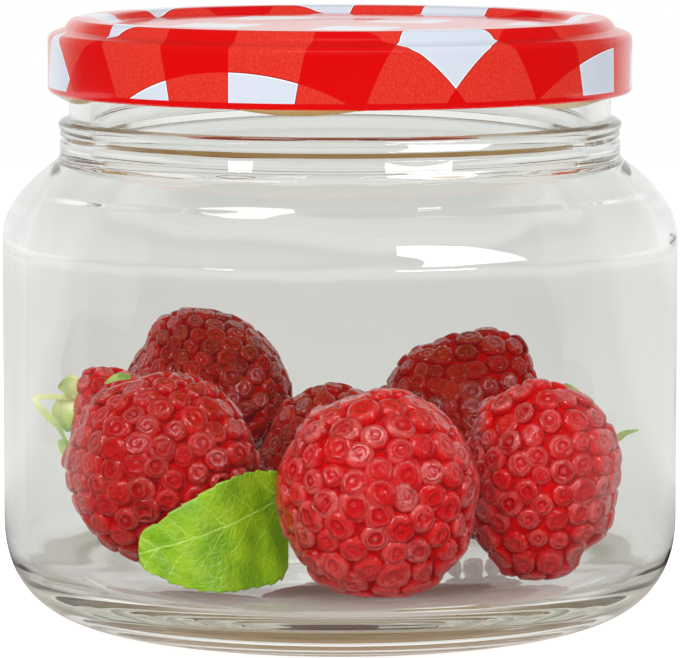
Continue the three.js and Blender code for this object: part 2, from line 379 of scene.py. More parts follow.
# %% Section of the jar
def jar_outline():
    """Up the outside from the axis, over the rim and down the inside to the axis again.

    A point close before or after a corner keeps the shading of the flat part beside it true.
    """
    g = GLASS
    outline = Outline(0, g["punt"])
    outline.round((g["foot_inner"] * g["punt_share"], g["punt"]), (g["foot_inner"], 0), steps=10)
    outline.line(g["foot_outer"], 0)
    outline.round((g["radius"], 0), (g["radius"], g["heel"]), 28, g["heel_fullness"])
    for share in (0.25, 0.5, 0.75):
        outline.line(g["radius"], g["heel"] + share * (g["wall_top"] - g["heel"]))
    outline.line(g["radius"], g["wall_top"])
    shoulder_corner = (g["radius"], g["wall_top"] + g["shoulder_rise"])
    shoulder_end = (g["neck_radius"] + 0.6, g["neck_bottom"] - 0.4)
    outline.round(shoulder_corner, shoulder_end, 32, g["shoulder_fullness"])
    neck_start = (g["neck_radius"], g["neck_bottom"])
    outline.round(neck_start, (g["neck_radius"], g["neck_bottom"] + 0.7), steps=5)
    for height in (g["neck_bottom"] + 0.8, g["neck_top"] - 0.1, g["neck_top"]):
        outline.line(g["neck_radius"], height)
    for radius, height in BEAD:
        outline.line(radius, height)
    outline.round((BEAD[-1][0], BEAD_TOP), (g["finish_radius"], BEAD_TOP), steps=6)
    outline.line(g["finish_radius"], BEAD_TOP + 0.2)
    outline.line(g["finish_radius"], THREAD["height"] - THREAD["half_height"] - 0.15)
    for share in np.linspace(-1, 1, 13):
        outline.line(g["finish_radius"], THREAD["height"] + share * THREAD["half_height"])
    outline.line(g["finish_radius"], g["top"] - 1.4)
    middle = (g["finish_radius"] + g["mouth_radius"]) / 2
    outline.round((g["finish_radius"], g["top"]), (middle, g["top"]), steps=6)
    outline.round((g["mouth_radius"], g["top"]), (g["mouth_radius"], g["top"] - 1.2), steps=5)
    outline.line(g["mouth_radius"], g["neck_bottom"] + 1.7)
    neck_end = (g["mouth_radius"] + 1.6, g["neck_bottom"] - 1.4)
    outline.round((g["mouth_radius"], g["neck_bottom"] - 0.3), neck_end, steps=8)
    inner_corner = (g["bore"], g["inner_wall_top"] + g["inner_shoulder_rise"])
    wall_end = (g["bore"], g["inner_wall_top"])
    outline.round(inner_corner, wall_end, 28, g["shoulder_fullness"])
    for share in (0.2, 0.4, 0.6, 0.8):
        height = g["inner_wall_top"] + share * (g["inner_heel"] - g["inner_wall_top"])
        outline.line(g["bore"], height)
    outline.line(g["bore"], g["inner_heel"])
    floor_edge = (g["floor_radius"], g["floor"])
    outline.round((g["bore"], g["floor"]), floor_edge, 26, g["heel_fullness"])
    outline.line(g["floor_radius"] * 0.6, g["floor"] + g["floor_rise"] * 0.6)
    outline.line(0, g["floor"] + g["floor_rise"])
    return outline


# %% Threads outside, slight waves inside
def jar_shape(angle, radius, height):
    """How far a point moves out and up, in millimetres."""
    across = 1 - ((height - THREAD["height"]) / (THREAD["half_height"] * 1.001)) ** 2
    if radius > GLASS["finish_radius"] - 0.1 and across > 0:
        return THREAD["depth"] * across**2 * lug_share(angle, THREAD["half_angle"]) ** 2, 0
    inside = GLASS["floor_radius"] <= radius < GLASS["bore"] + 0.01
    if not (inside and GLASS["floor"] + 2 < height < GLASS["neck_bottom"]):
        return 0, 0
    wave = math.sin(3 * angle + 0.06 * height + 0.8) + 0.6 * math.sin(7 * angle - 0.09 * height)
    wave += 0.35 * math.sin(17 * angle + 0.05 * height + 2.1)
    return WAVINESS * wave, 0


def clear_glass(graph):
    """Soda glass: almost colourless, but olive in the heel, where light goes a long way in it,
    and darker there than that as painted shade.
    """
    x, y, z = graph.split(graph.place())
    reach = (x * x + y * y) ** 0.5
    height = z.between(3 * MM, 3.6 * MM) * z.between(6.8 * MM, 6 * MM)
    heel = height * reach.between(35.5 * MM, 37 * MM)
    return {
        "Base Color": graph.blend(heel, NEARLY_CLEAR, OLIVE_AND_PAINTED_SHADE),
        "Roughness": 0.0,
        "IOR": 1.5,
        "Transmission Weight": 1.0,
    }


jar = turned("glass_jar", jar_outline(), jar_shape, sharp=60)
jar.data.materials.append(finish_material("clear_glass", clear_glass))
dress(jar, "clear_glass", "jar_glass")

# %% [markdown]
# ### Light through glass
#
# Rays that leave a berry for a lamp would have to find their way out through the curved
# wall, which leaves the inside dark and full of noise. Jar glass casts next to no shadow,
# so the jar is left out of shadow rays and of soft bounces, and only clear views, bright
# reflections and bending are traced through it.

# %% Let the light in
PATH_LENGTH = 64
jar.visible_shadow = False
jar.visible_diffuse = False
cycles = bpy.context.scene.cycles
cycles.caustics_refractive = False
cycles.caustics_reflective = False
for kind in ("max_bounces", "transmission_bounces", "glossy_bounces"):
    setattr(cycles, kind, PATH_LENGTH)
cycles.diffuse_bounces = 3
cycles.use_denoising = True
print("light paths of up to", cycles.max_bounces, "bounces")

# %% [markdown]
# ## The lid
#
# The lid is tinplate, printed and lacquered flat and then pressed to shape, with a rolled
# lower edge, six lugs pressed in from it and a raised ring round a sunk panel. Outside it
# is glossy red and white check. Inside it has the gold lacquer of food tins.

# %% Sizes of the lid
LID = {
    "radius": 36.2,
    "sheet": 0.35,
    "bottom": 65.5,
    "curl": 1.3,
    "skirt_top": 71.9,
    "ledge_outer": 35.4,
    "ledge_inner": 34.1,
    "ledge_height": 72.95,
    "ledge_rise": 0.5,
    "ring_outer": 32.8,
    "ring_inner": 31.1,
    "top": LID_HIGH.z / MM,
    "panel_radius": 28.6,
    "panel": 73.65,
}
LUG = {"depth": 0.92, "drop": 0.75, "half_angle": math.radians(12)}
LUG_GOLD = 0.15
print(f"lid {2 * LID['radius']:.1f} mm across, of {LID['sheet']} mm sheet, with {LUGS} lugs")


# %% Section of the lid
def lid_outline():
    """The section, and how many of its points lie on the gold inside.

    The small lengths added to the sizes round off the corners between them.
    """
    d, t = LID, LID["sheet"]
    inside, curl_inner = d["radius"] - t, d["radius"] - d["curl"]
    outline = Outline(0, d["panel"] - t)
    outline.line(d["panel_radius"] - t, d["panel"] - t)
    ring_end = (d["ring_inner"] - 0.4, d["top"] - t - 0.3)
    outline.round((d["ring_inner"] - 1.4, d["panel"] - t), ring_end, steps=5)
    outline.line(d["ring_inner"], d["top"] - t)
    outline.line(d["ring_outer"] - 0.15, d["top"] - t)
    ledge_end = (d["ledge_inner"] - 0.3, d["ledge_height"] + d["ledge_rise"] - t)
    outline.round((d["ledge_inner"] - 0.9, d["top"] - t), ledge_end, steps=5)
    outline.line(d["ledge_outer"] - 0.15, d["ledge_height"] - t)
    skirt_start = (inside, d["skirt_top"] - t)
    outline.round((inside, d["ledge_height"] - t - 0.1), skirt_start, steps=5)
    outline.line(inside, d["bottom"] + d["curl"] + 0.3)
    outline.line(curl_inner + 0.1, d["bottom"] + d["curl"])
    outline.line(curl_inner, d["bottom"] + d["curl"] / 2)
    bottom = (curl_inner + d["curl"] / 2, d["bottom"])
    outline.round((curl_inner, d["bottom"]), bottom, steps=6)
    gold = len(outline.points)
    rolled = (d["radius"], d["bottom"] + d["curl"] / 2)
    outline.round((d["radius"], d["bottom"]), rolled, steps=8)
    outline.line(d["radius"], d["bottom"] + d["curl"] + 0.6)
    outline.line(d["radius"], d["skirt_top"])
    ledge_edge = (d["ledge_outer"], d["ledge_height"])
    outline.round((d["radius"], d["ledge_height"] - 0.1), ledge_edge, steps=9)
    ledge_top = d["ledge_height"] + d["ledge_rise"]
    outline.line(d["ledge_inner"] + 0.15, ledge_top - 0.06)
    riser = (d["ledge_inner"] - 0.08, ledge_top + 0.15)
    outline.round((d["ledge_inner"], ledge_top), riser, steps=3)
    outline.round((d["ledge_inner"] - 0.6, d["top"]), (d["ring_outer"], d["top"]), steps=10)
    outline.line(d["ring_inner"], d["top"])
    slope = (d["ring_inner"] - 1.5, (d["top"] + d["panel"]) / 2)
    outline.round((d["ring_inner"] - 1, d["top"]), slope, steps=6)
    outline.round((d["ring_inner"] - 2, d["panel"]), (d["panel_radius"], d["panel"]), steps=6)
    outline.line(d["panel_radius"] * 0.5, d["panel"])
    outline.line(0, d["panel"])
    return outline, gold


def lid_shape(angle, radius, height):
    """Lugs: the rolled edge is pressed inwards and a little down."""
    low_edge = LID["bottom"] + LID["curl"]
    if height > low_edge + 0.1 or radius > LID["radius"] - LID["curl"] * 0.4:
        return 0, 0
    share = lug_share(angle, LUG["half_angle"])
    low = min(1.0, max(0.0, (low_edge - height) / LID["curl"]))
    return -LUG["depth"] * share, -LUG["drop"] * share * low


# %% [markdown]
# ### The checked print
#
# A gingham check is two sets of stripes that cross: where two pale stripes meet it is white,
# where two red ones meet it is full red, and elsewhere a mixed red. It was printed on the
# flat sheet, so the skirt, which is drawn from that sheet, stretches it. The material
# therefore works back from a point of the lid to its place on the flat blank, and lays the
# stripes there. An image would do it as well, but this stays sharp at any distance.

# %% Print and lacquer
CHECK = 9.27 * MM
CHECK_TURN = math.radians(-21.2)
CHECK_SHIFT = 0.19
FULL_RED = paint(226, 0, 1)
MIXED_RED = paint(229, 46, 34)
PALE_MIXED_RED = paint(234, 62, 48)
WHITE_INK = paint(219, 227, 241)
BARE_WHITE = paint(252, 252, 255)
DARK_RED = paint(165, 8, 20)
WHITE_EDGE = 0.14 * MM
DARK_EDGE = 0.11 * MM
INK_EDGE = 0.02 * MM
DRAWN_ABOVE = 0.7
BAND_TOP = (LID["bottom"] + 0.85) * MM
print(f"checks of {CHECK / MM:.2f} mm, turned by {math.degrees(CHECK_TURN):.1f} degrees")


def blank_place(graph):
    """Where a point of the lid was on the flat sheet."""
    place = graph.place()
    x, y, z = graph.split(place)
    reach = ((x * x + y * y) ** 0.5).most(0.01 * MM)
    radius, edge = LID["radius"] * MM, (LID["skirt_top"] + DRAWN_ABOVE) * MM
    drawn = ((edge - z).most(0) * (2 * radius) + radius**2) ** 0.5
    stretch = (drawn - radius + reach) / reach
    return place, x * stretch, y * stretch, z


def stripe(across, middle):
    """How far a point is outside the nearest pale stripe, in metres, and below 0 inside."""
    within = across % 2
    near = abs(within - middle)
    far = abs(within - (middle + 2 if middle < 1 else middle - 2))
    return (near.least(far) - 0.5) * CHECK


def checked_lacquer(graph):
    place, u, v, z = blank_place(graph)
    cosine, sine = math.cos(CHECK_TURN), math.sin(CHECK_TURN)
    one_way = (u * cosine + v * sine) / CHECK
    other_way = (v * cosine - u * sine) / CHECK + CHECK_SHIFT
    first, second = stripe(one_way, 0.5), stripe(other_way, 1.5)
    outside_white = first.most(second)
    full = first.least(second).between(-INK_EDGE, INK_EDGE)
    speckle = graph.noise(place, 4200, 3).between(0.42, 0.62)
    mixed = graph.blend(speckle, MIXED_RED, PALE_MIXED_RED)
    red = graph.blend(full, mixed, FULL_RED)
    halo = outside_white.between(DARK_EDGE * 1.3, DARK_EDGE * 0.7)
    red = graph.blend(halo, red, DARK_RED)
    bare = outside_white.between(-WHITE_EDGE * 1.2, -WHITE_EDGE * 0.8)
    pale = graph.blend(bare, WHITE_INK, BARE_WHITE)
    ink = graph.blend(outside_white.between(INK_EDGE, -INK_EDGE), red, pale)
    band = z.between(BAND_TOP, BAND_TOP - 0.05 * MM)
    return {
        "Base Color": graph.blend(band, ink, FULL_RED),
        "Roughness": 0.2,
        "Specular IOR Level": 0.2,
        "Coat Weight": 0.6,
        "Coat Roughness": 0.04,
    }


def gold_lacquer(graph):
    cloud = graph.noise(graph.place(), 180, 3)
    return {
        "Base Color": graph.blend(cloud, paint(206, 170, 100), paint(222, 192, 128)),
        "Metallic": 0.3,
        "Roughness": cloud * 0.1 + 0.26,
        "Coat Weight": 0.6,
    }


# %% Press the lid
section, gold_points = lid_outline()
lid = turned("tin_lid", section, lid_shape, sharp=42)
lid.data.materials.append(finish_material("checked_lacquer", checked_lacquer))
lid.data.materials.append(finish_material("gold_lacquer", gold_lacquer))
rings = len(section.points) - 2
for index, face in enumerate(lid.data.polygons):
    segment, ring = divmod(index, rings + 1)
    angle = FIRST_LUG + (segment + 0.5) / SEGMENTS * 2 * math.pi
    pressed = lug_share(angle, LUG["half_angle"]) > LUG_GOLD
    gold_rings = gold_points + (1 if pressed else -1)  # A lug turns more of its inside outwards.
    face.material_index = 1 if ring < gold_rings else 0
dress(lid, "lacquered_tinplate", "lid")

# %% [markdown]
# ## The berries
#
# A berry is a cluster of round drupelets on a hollow core, here from 129 to 256 of them,
# each with a dimple where its hair grew. Voronoi cells pressed into a ball would give the
# creases but no round sides, so each drupelet is a small domed mesh of its own. Geometry
# Nodes lay them over the berry's body on a spiral that spaces them evenly, as the plant does.

# %% One drupelet
DRUPELET_SIDES = 10
DRUPELET_SECTION = [
    (1.12, -0.2), (1.02, 0.02), (0.94, 0.22), (0.8, 0.4),
    (0.62, 0.47), (0.42, 0.39), (0.2, 0.42), (0, 0.5),
]


def drupelet(name, section):
    """A dome of radius 1 on the XY plane. Two attributes tell where each point lies on it."""
    vertices = []
    for radius, height in section[:-1]:
        for side in range(DRUPELET_SIDES):
            angle = side / DRUPELET_SIDES * 2 * math.pi
            vertices.append((radius * math.cos(angle), radius * math.sin(angle), height))
    vertices.append((0, 0, section[-1][1]))
    rows = len(section) - 1
    faces = [tuple(reversed(range(DRUPELET_SIDES)))]
    for side in range(DRUPELET_SIDES):
        following = (side + 1) % DRUPELET_SIDES
        for row in range(rows - 1):
            a, b = row * DRUPELET_SIDES, (row + 1) * DRUPELET_SIDES
            faces.append((a + side, a + following, b + following, b + side))
        top = (rows - 1) * DRUPELET_SIDES
        faces.append((top + side, top + following, len(vertices) - 1))
    piece = place_mesh(name, vertices, faces)
    inward = piece.data.attributes.new("inward", "FLOAT", "POINT")
    shares = np.linspace(0, 1, rows + 1)
    values = [share for share in shares[:-1] for _ in range(DRUPELET_SIDES)] + [1.0]
    inward.data.foreach_set("value", values)
    spot = piece.data.attributes.new("spot", "FLOAT_VECTOR", "POINT")
    spot.data.foreach_set("vector", [part for vertex in vertices for part in vertex])
    return piece


drupelet_seed = drupelet("drupelet", DRUPELET_SECTION)
print("one drupelet has", len(drupelet_seed.data.polygons), "faces")

# %% [markdown]
# ### The rule that lays the drupelets
#
# The tree takes the berry's plain body and sends a ray at it from outside along every
# direction of a spiral. Where a ray lands, a drupelet stands upright on the surface, with a
# little chance in its size and turn. The body itself, drawn in, closes the gaps below.


# %% Geometry Nodes for a cluster
GOLDEN_ANGLE = math.pi * (3 - math.sqrt(5))
POLE_EASE = 0.2
RAY_START, RAY_LENGTH = 0.05, 0.1
WIDTHS, OVALS, HEIGHTS = (0.84, 1.14), (0.88, 1.12), (0.8, 1.1)
ANY_TURN = (0, 6.28)
CORE_SHRINK = -0.04
print(f"each drupelet follows {math.degrees(GOLDEN_ANGLE):.1f} degrees after the last")


def cluster_tree(core, material):
    """The rule as a tree. Every chance has a salt of its own, so no two rolls are alike."""
    tree = bpy.data.node_groups.new("cluster_of_drupelets", "GeometryNodeTree")
    sockets = tree.interface
    sockets.new_socket("Body", in_out="OUTPUT", socket_type="NodeSocketGeometry")
    sockets.new_socket("Body", in_out="INPUT", socket_type="NodeSocketGeometry")
    for name, kind in (
        ("Drupelets", "NodeSocketInt"),
        ("Centre", "NodeSocketVector"),
        ("Tip", "NodeSocketVector"),
        ("Radius", "NodeSocketFloat"),
        ("Unevenness", "NodeSocketFloat"),
        ("Seed", "NodeSocketInt"),
    ):
        sockets.new_socket(name, in_out="INPUT", socket_type=kind)
    g = Graph(tree)
    given = g.add("NodeGroupInput")
    body, centre, seed = given.out("Body"), given.out("Centre"), given.out("Seed")

    def chance(low, high, salt):
        inputs = {2: low, 3: high, "Seed": seed + salt}
        return g.add("FunctionNodeRandomValue", {"data_type": "FLOAT"}, inputs).out(1)

    def z_towards(vector):
        settings, inputs = {"axis": "Z"}, {"Vector": vector}
        return g.add("FunctionNodeAlignRotationToVector", settings, inputs).out(0)

    index = g.add("GeometryNodeInputIndex").out(0)
    uneven = given.out("Unevenness")
    height = 1 - (index * 2 + 1) / given.out("Drupelets")
    across = (1 - height * height).most(0) ** 0.5
    angle = index * GOLDEN_ANGLE + chance(-1, 1, 1) * uneven / (across + POLE_EASE)
    spiral = g.add("ShaderNodeCombineXYZ", None, {
        0: across * angle.math("COSINE"),
        1: across * angle.math("SINE"),
        2: height + chance(-1, 1, 2) * uneven * across,
    }).out(0)
    upright = z_towards(given.out("Tip"))
    way = g.add("FunctionNodeRotateVector", None, {0: spiral, 1: upright}).out(0)
    ray = g.add("GeometryNodeRaycast", None, {
        "Target Geometry": body,
        "Source Position": g.add("ShaderNodeVectorMath", {"operation": "ADD"}, {
            0: centre, 1: g.scaled(way, RAY_START),
        }).out(0),
        "Ray Direction": g.scaled(way, -1.0),
        "Ray Length": RAY_LENGTH,
    })
    points = g.add("GeometryNodePoints", None, {"Count": given.out("Drupelets")}).out(0)
    normal = g.add("GeometryNodeCaptureAttribute")
    normal.node.capture_items.new("VECTOR", "Normal")
    g.feed(normal.node.inputs[0], points)
    g.feed(normal.node.inputs[1], ray.out("Hit Normal"))
    landed = g.add("GeometryNodeSetPosition", None, {
        "Geometry": normal.out(0), "Position": ray.out("Hit Position"),
    }).out(0)
    about_z = {0: (0, 0, 1), 1: chance(*ANY_TURN, 3)}
    spin = g.add("FunctionNodeAxisAngleToRotation", None, about_z).out(0)
    spun = {0: z_towards(normal.out(1)), 1: spin}
    turn = g.add("FunctionNodeRotateRotation", {"rotation_space": "LOCAL"}, spun).out(0)
    radius = given.out("Radius")
    width = radius * chance(*WIDTHS, 4)
    size = g.add("ShaderNodeCombineXYZ", None, {
        0: width, 1: width * chance(*OVALS, 5), 2: radius * chance(*HEIGHTS, 6),
    }).out(0)
    shape = g.add("GeometryNodeObjectInfo", None, {"Object": core}).out("Geometry")
    dots = g.add("GeometryNodeInstanceOnPoints", None, {
        "Points": landed, "Instance": shape, "Rotation": turn, "Scale": size,
    }).out(0)
    on_instances = {"data_type": "FLOAT", "domain": "INSTANCE"}
    toned = g.add("GeometryNodeStoreNamedAttribute", on_instances, {
        "Geometry": dots, "Name": "tone", "Value": chance(0, 1, 7),
    }).out(0)
    real = g.add("GeometryNodeRealizeInstances", None, {0: toned}).out(0)
    inward = g.scaled(g.add("GeometryNodeInputNormal").out(0), radius * CORE_SHRINK)
    drawn_in = g.add("GeometryNodeSetPosition", None, {"Geometry": body, "Offset": inward}).out(0)
    both = g.add("GeometryNodeJoinGeometry")
    for part in (drawn_in, real):
        tree.links.new(part.socket, both.node.inputs[0])
    smooth = g.add("GeometryNodeSetShadeSmooth", None, {0: both.out(0)}).out(0)
    painted = {"Geometry": smooth, "Material": material}
    done = g.add("GeometryNodeSetMaterial", None, painted).out(0)
    g.add("NodeGroupOutput", None, {0: done})
    return tree


# %% [markdown]
# ### The berry's skin
#
# A ripe drupelet is a thin skin over clear red juice. Light goes in at the top and comes out
# of the creases, so the creases are painted a brighter, purer red, as a painted glow. A broken
# pale rim round each crater, a pale spot in its middle and the crests of its folds are partly
# bloom and fine down and partly painted highlight. The attribute called inward says how far in
# a point lies, and the one called spot is its place in its own drupelet, so that noise breaks
# every rim differently. The berries behind are painted darker than those in front, as painted
# shade, so one function writes three skins.

# %% Three depths of red
FOLD_COUNT, FOLD_WANDER = 13, 11
SWIRL_SIZE = (1.1, 1.1, 1.1)
TONE_SHIFT = 40


def berry_skin(crease_glow, flank, pale_bloom_highlight, deep):
    """One skin, from four reds: the creases' painted glow, the flanks, bloom and painted
    highlight, and a deeper red for some drupelets.
    """
    def write(graph):
        place = graph.place()
        inward = graph.attribute("inward")
        tone = graph.attribute("tone")
        spot = graph.attribute("spot", "Vector")
        own = graph.add("ShaderNodeVectorMath", {"operation": "MULTIPLY_ADD"}, {
            0: spot, 1: SWIRL_SIZE, 2: tone * TONE_SHIFT,
        }).out(0)
        swirl = graph.noise(own, 1.0, 2)
        cloud = graph.noise(place, 420, 3)
        rings = inward * FOLD_COUNT + swirl * FOLD_WANDER
        folds = rings.math("SINE") * inward.between(0.1, 0.35)
        # Painted glow: the creases are painted a brighter, purer red than the flanks.
        flesh = graph.blend(inward.between(0.08, 0.4), crease_glow, flank)
        flesh = graph.blend(tone.between(0.4, 1.0) * 0.6, flesh, deep)
        # The pale rim, middle spot and fold crests are partly bloom and partly painted highlight.
        edge = inward + (swirl - 0.5) * 0.4
        rim = edge.between(0.26, 0.38) * edge.between(0.62, 0.48)
        pale = rim * 0.42 + inward.between(0.8, 1.0) * 0.3 + folds.between(0.2, 1.0) * 0.35
        bloom_and_painted_highlight = pale * (0.12 + tone * 0.7) * cloud.between(0.3, 0.62)
        skin = graph.blend(bloom_and_painted_highlight, flesh, pale_bloom_highlight)
        grain = graph.noise(place, 1500, 2)
        return {
            "Base Color": skin,
            "Roughness": 0.3 + cloud * 0.2,
            "Specular IOR Level": 0.0,
            "Subsurface Weight": 0.16,
            "Subsurface Radius": (1.0, 0.12, 0.08),
            "Subsurface Scale": 1.8 * MM,
            "Coat Weight": inward.between(0.08, 0.3),
            "Coat Roughness": 0.1,
            "Sheen Weight": 0.14,
            "Sheen Roughness": 0.25,
            "Sheen Tint": paint(255, 200, 200),
            "Normal": graph.bump(0.8, 0.34 * MM, folds * 0.5 + grain * 1.2),
        }
    return write


# The back skin is painted darker than the front one, as painted shade for the berries behind.
SKINS = {
    "front": [paint(200, 1, 3), paint(190, 6, 12), paint(240, 142, 136), paint(150, 2, 8)],
    "left": [paint(188, 1, 2), paint(172, 4, 6), paint(222, 96, 80), paint(132, 1, 4)],
    "back": [paint(166, 3, 1), paint(152, 5, 2), paint(196, 88, 50), paint(100, 3, 1)],
}
SLOTS = {"front": "berry_front", "left": "berry_front", "back": "berry_back"}
skins = {
    key: finish_material(key + "_berry_skin", berry_skin(*reds)) for key, reds in SKINS.items()
}
print(len(skins), "skins")

# %% [markdown]
# ### The body of a berry
#
# A berry is a rounded cone: blunt where it sat on its stem and narrower at its tip. A sphere
# has one shape only, so each body is a sphere whose points are moved by that rule, then
# fitted to the box of its packed solid, one drupelet's height inside it. Three berries that
# peep out behind others have the low and the high corner of that box moved a little, to show
# the right part, and the one at the far left is made narrower where the others hide it.

# %% Bodies that fit their solids
STEM_FULLNESS = 2.5
TOP_HEIGHT = max(height for _, height in DRUPELET_SECTION)
OVERLAP = 1.02
CROWDING = 1.13
UNEVENNESS = 0.045
LUMP, SMALL_LUMP = 0.03, 0.015
BODY_RINGS, BODY_SIDES = 24, 36
print(f"a drupelet is {TOP_HEIGHT} of its radius high")


def berry_body(name, node, tip, taper, pitch, moves):
    """The plain body as an object, with its centre and its area in square metres."""
    box = zip(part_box(node), moves)
    low, high = (np.array(corner) + np.array(move) * MM for corner, move in box)
    axis = np.array(tip) / np.linalg.norm(tip)
    vertices, faces = [np.array([0.0, 0.0, 1.0])], []
    for ring in range(1, BODY_RINGS):
        polar = ring / BODY_RINGS * math.pi
        flat = math.sin(polar)
        for side in range(BODY_SIDES):
            turn = side / BODY_SIDES * 2 * math.pi
            place = [flat * math.cos(turn), flat * math.sin(turn), math.cos(polar)]
            vertices.append(np.array(place))
    vertices.append(np.array([0.0, 0.0, -1.0]))
    for side in range(BODY_SIDES):
        following = (side + 1) % BODY_SIDES
        faces.append((0, 1 + side, 1 + following))
        for ring in range(BODY_RINGS - 2):
            a, b = 1 + ring * BODY_SIDES, 1 + (ring + 1) * BODY_SIDES
            faces.append((a + side, b + side, b + following, a + following))
        last = 1 + (BODY_RINGS - 2) * BODY_SIDES
        faces.append((last + side, len(vertices) - 1, last + following))
    shaped = []
    for direction in vertices:
        along = float(direction @ axis)
        across = direction - axis * along
        reach = float(np.linalg.norm(across))
        blunt = 2 / STEM_FULLNESS if along < 0 else 1.0
        width = (1 - taper * along) * max(reach, 1e-9) ** (blunt - 1)
        x, y, z = direction
        lumps = 1 + LUMP * math.sin(5 * x + 3 * z) * math.cos(4 * z - 3 * y)
        lumps += SMALL_LUMP * math.sin(9 * z + 7 * x)
        shaped.append((across * width + axis * math.copysign(abs(along) ** blunt, along)) * lumps)
    shaped = np.array(shaped)
    depth = pitch / 2 * OVERLAP * TOP_HEIGHT
    share = (high - low - 2 * depth) / (shaped.max(0) - shaped.min(0))
    shaped = (shaped - (shaped.max(0) + shaped.min(0)) / 2) * share + (low + high) / 2
    body = place_mesh(name, shaped, faces)
    surface = sum(face.area for face in body.data.polygons)
    return body, (low + high) / 2, surface


# %% Grow the seven berries
BERRIES = {
    "front_left": {"tip": (0.2, -0.9, -0.4), "taper": 0.08, "skin": "left", "pitch": 3.35},
    "front_centre": {"tip": (-0.1, -0.95, -0.1), "taper": 0.05, "skin": "front", "pitch": 3.7},
    "front_right": {"tip": (-0.25, -0.5, -0.8), "taper": 0.1, "skin": "front", "pitch": 3.1},
    "far_left": {"tip": (-0.5, 0.1, 0.85), "taper": 0.38, "skin": "front", "pitch": 2.8},
    "back_left": {"tip": (-0.3, 0.1, 0.95), "taper": 0.24, "skin": "back", "pitch": 2.8},
    "back_centre": {"tip": (0.1, 0.2, 0.9), "taper": 0.08, "skin": "back", "pitch": 2.9},
    "back_right": {"tip": (0.5, 0.1, 0.85), "taper": 0.28, "skin": "back", "pitch": 2.8},
}
STILL = [(0, 0, 0), (0, 0, 0)]
MOVES = {
    "far_left": [(-1.7, 0.3, 0.4), (-5.6, 0.3, 0.2)],
    "back_left": [(-1.3, 0, -2), (-0.1, 0, 0.1)],
    "back_right": [(0.4, -0.4, 0.8), (1.2, -0.4, 0.9)],
}
SEED_STEP = 10
TREES = {key: cluster_tree(drupelet_seed, skin) for key, skin in skins.items()}


def grown(name, tip, taper, skin, pitch, seed):
    """Runs the cluster's tree on a body and keeps the result as a plain mesh."""
    pitch, node, moves = pitch * MM, "berry_" + name, MOVES.get(name, STILL)
    body, centre, surface = berry_body("body_of_" + name, node, tip, taper, pitch, moves)
    count = round(CROWDING * surface / (pitch**2 * math.sqrt(3) / 2))
    tree = TREES[skin]
    rule = body.modifiers.new("cluster", "NODES")
    rule.node_group = tree
    values = {
        "Drupelets": count,
        "Centre": tuple(centre),
        "Tip": tip,
        "Radius": pitch / 2 * OVERLAP,
        "Unevenness": UNEVENNESS,
        "Seed": seed,
    }
    for item in tree.interface.items_tree:
        if item.in_out == "INPUT" and item.name in values:
            rule[item.identifier] = values[item.name]
    graph = bpy.context.evaluated_depsgraph_get()
    mesh = bpy.data.meshes.new_from_object(body.evaluated_get(graph))
    bpy.data.objects.remove(body)
    print(f"{name}: {count} drupelets")
    return in_scene(node + "_fruit", mesh)


for order, (name, form) in enumerate(BERRIES.items()):
    berry = grown(name, seed=order * SEED_STEP, **form)
    dress(berry, SLOTS[form["skin"]], "berry_" + name)
bpy.data.objects.remove(drupelet_seed)

# %% [markdown]
# ## The leaf
#
# One fresh green leaf stands on edge against the glass, with its free end to the left. It is
# a single thin sheet, so it is made as a grid that follows its bend, with a toothed edge.
# Veins could be cut into the mesh, but they are finer than its steps, so the material draws
# them from a map that runs in millimetres along and across the leaf.

# %% Sheets between two grids
def sheet_faces(rows, columns):
    """Faces of a closed sheet: two grids of points, back to back, and a rim."""
    count = rows * columns
    faces = []
    for i in range(rows - 1):
        for j in range(columns - 1):
            a, b = i * columns + j, (i + 1) * columns + j
            faces.append((a, b, b + 1, a + 1))
            faces.append((count + a, count + a + 1, count + b + 1, count + b))
        a, b = i * columns, (i + 1) * columns
        faces.append((a, count + a, count + b, b))
        a, b = a + columns - 1, b + columns - 1
        faces.append((a, b, count + b, count + a))
    for j in range(columns - 1):
        faces.append((j, j + 1, count + j + 1, count + j))
        a = (rows - 1) * columns + j
        faces.append((a, count + a, count + a + 1, a + 1))
    return faces


def lay_map(piece, places):
    """A map called spread, from one place for each vertex."""
    spread = piece.data.uv_layers.new(name="spread")
    for loop in piece.data.loops:
        spread.data[loop.index].uv = places[loop.vertex_index]


def spline(points, share):
    """A smooth curve through points in any number of dimensions, at a share of its steps."""
    points = np.array(points, float)
    step = min(share, 0.999999) * (len(points) - 1)
    i, t = int(step), step - int(step)
    p0, p1 = points[max(i - 1, 0)], points[i]
    p2, p3 = points[i + 1], points[min(i + 2, len(points) - 1)]
    a = 2 * p1 + (p2 - p0) * t + (2 * p0 - 5 * p1 + 4 * p2 - p3) * t**2
    return 0.5 * (a + (3 * p1 - p0 - 3 * p2 + p3) * t**3)


# %% The leaf's mesh
LEAF_BEND = [(-23.5, -28.3), (-20, -28.1), (-16, -27.1), (-12, -24.4), (-9, -20.9), (-6.5, -18.3)]
LEAF_UPPER = [12.9, 16.6, 18.6, 20.6, 21.2, 21.0, 20.6]
LEAF_LOWER = [12.1, 9.2, 7.6, 6.9, 7.0, 7.6, 8.6]
LEAF_END, BLUNT_END = 12.6, 0.13
LEAF_THICKNESS = 0.34
LEAF_WAVE, LEAF_RIPPLE = 0.35, 0.1
TOOTH = 0.42
TEETH = 11
LEAF_ROWS, LEAF_COLUMNS = 133, 41
print("the leaf has", TEETH, "teeth on each edge")


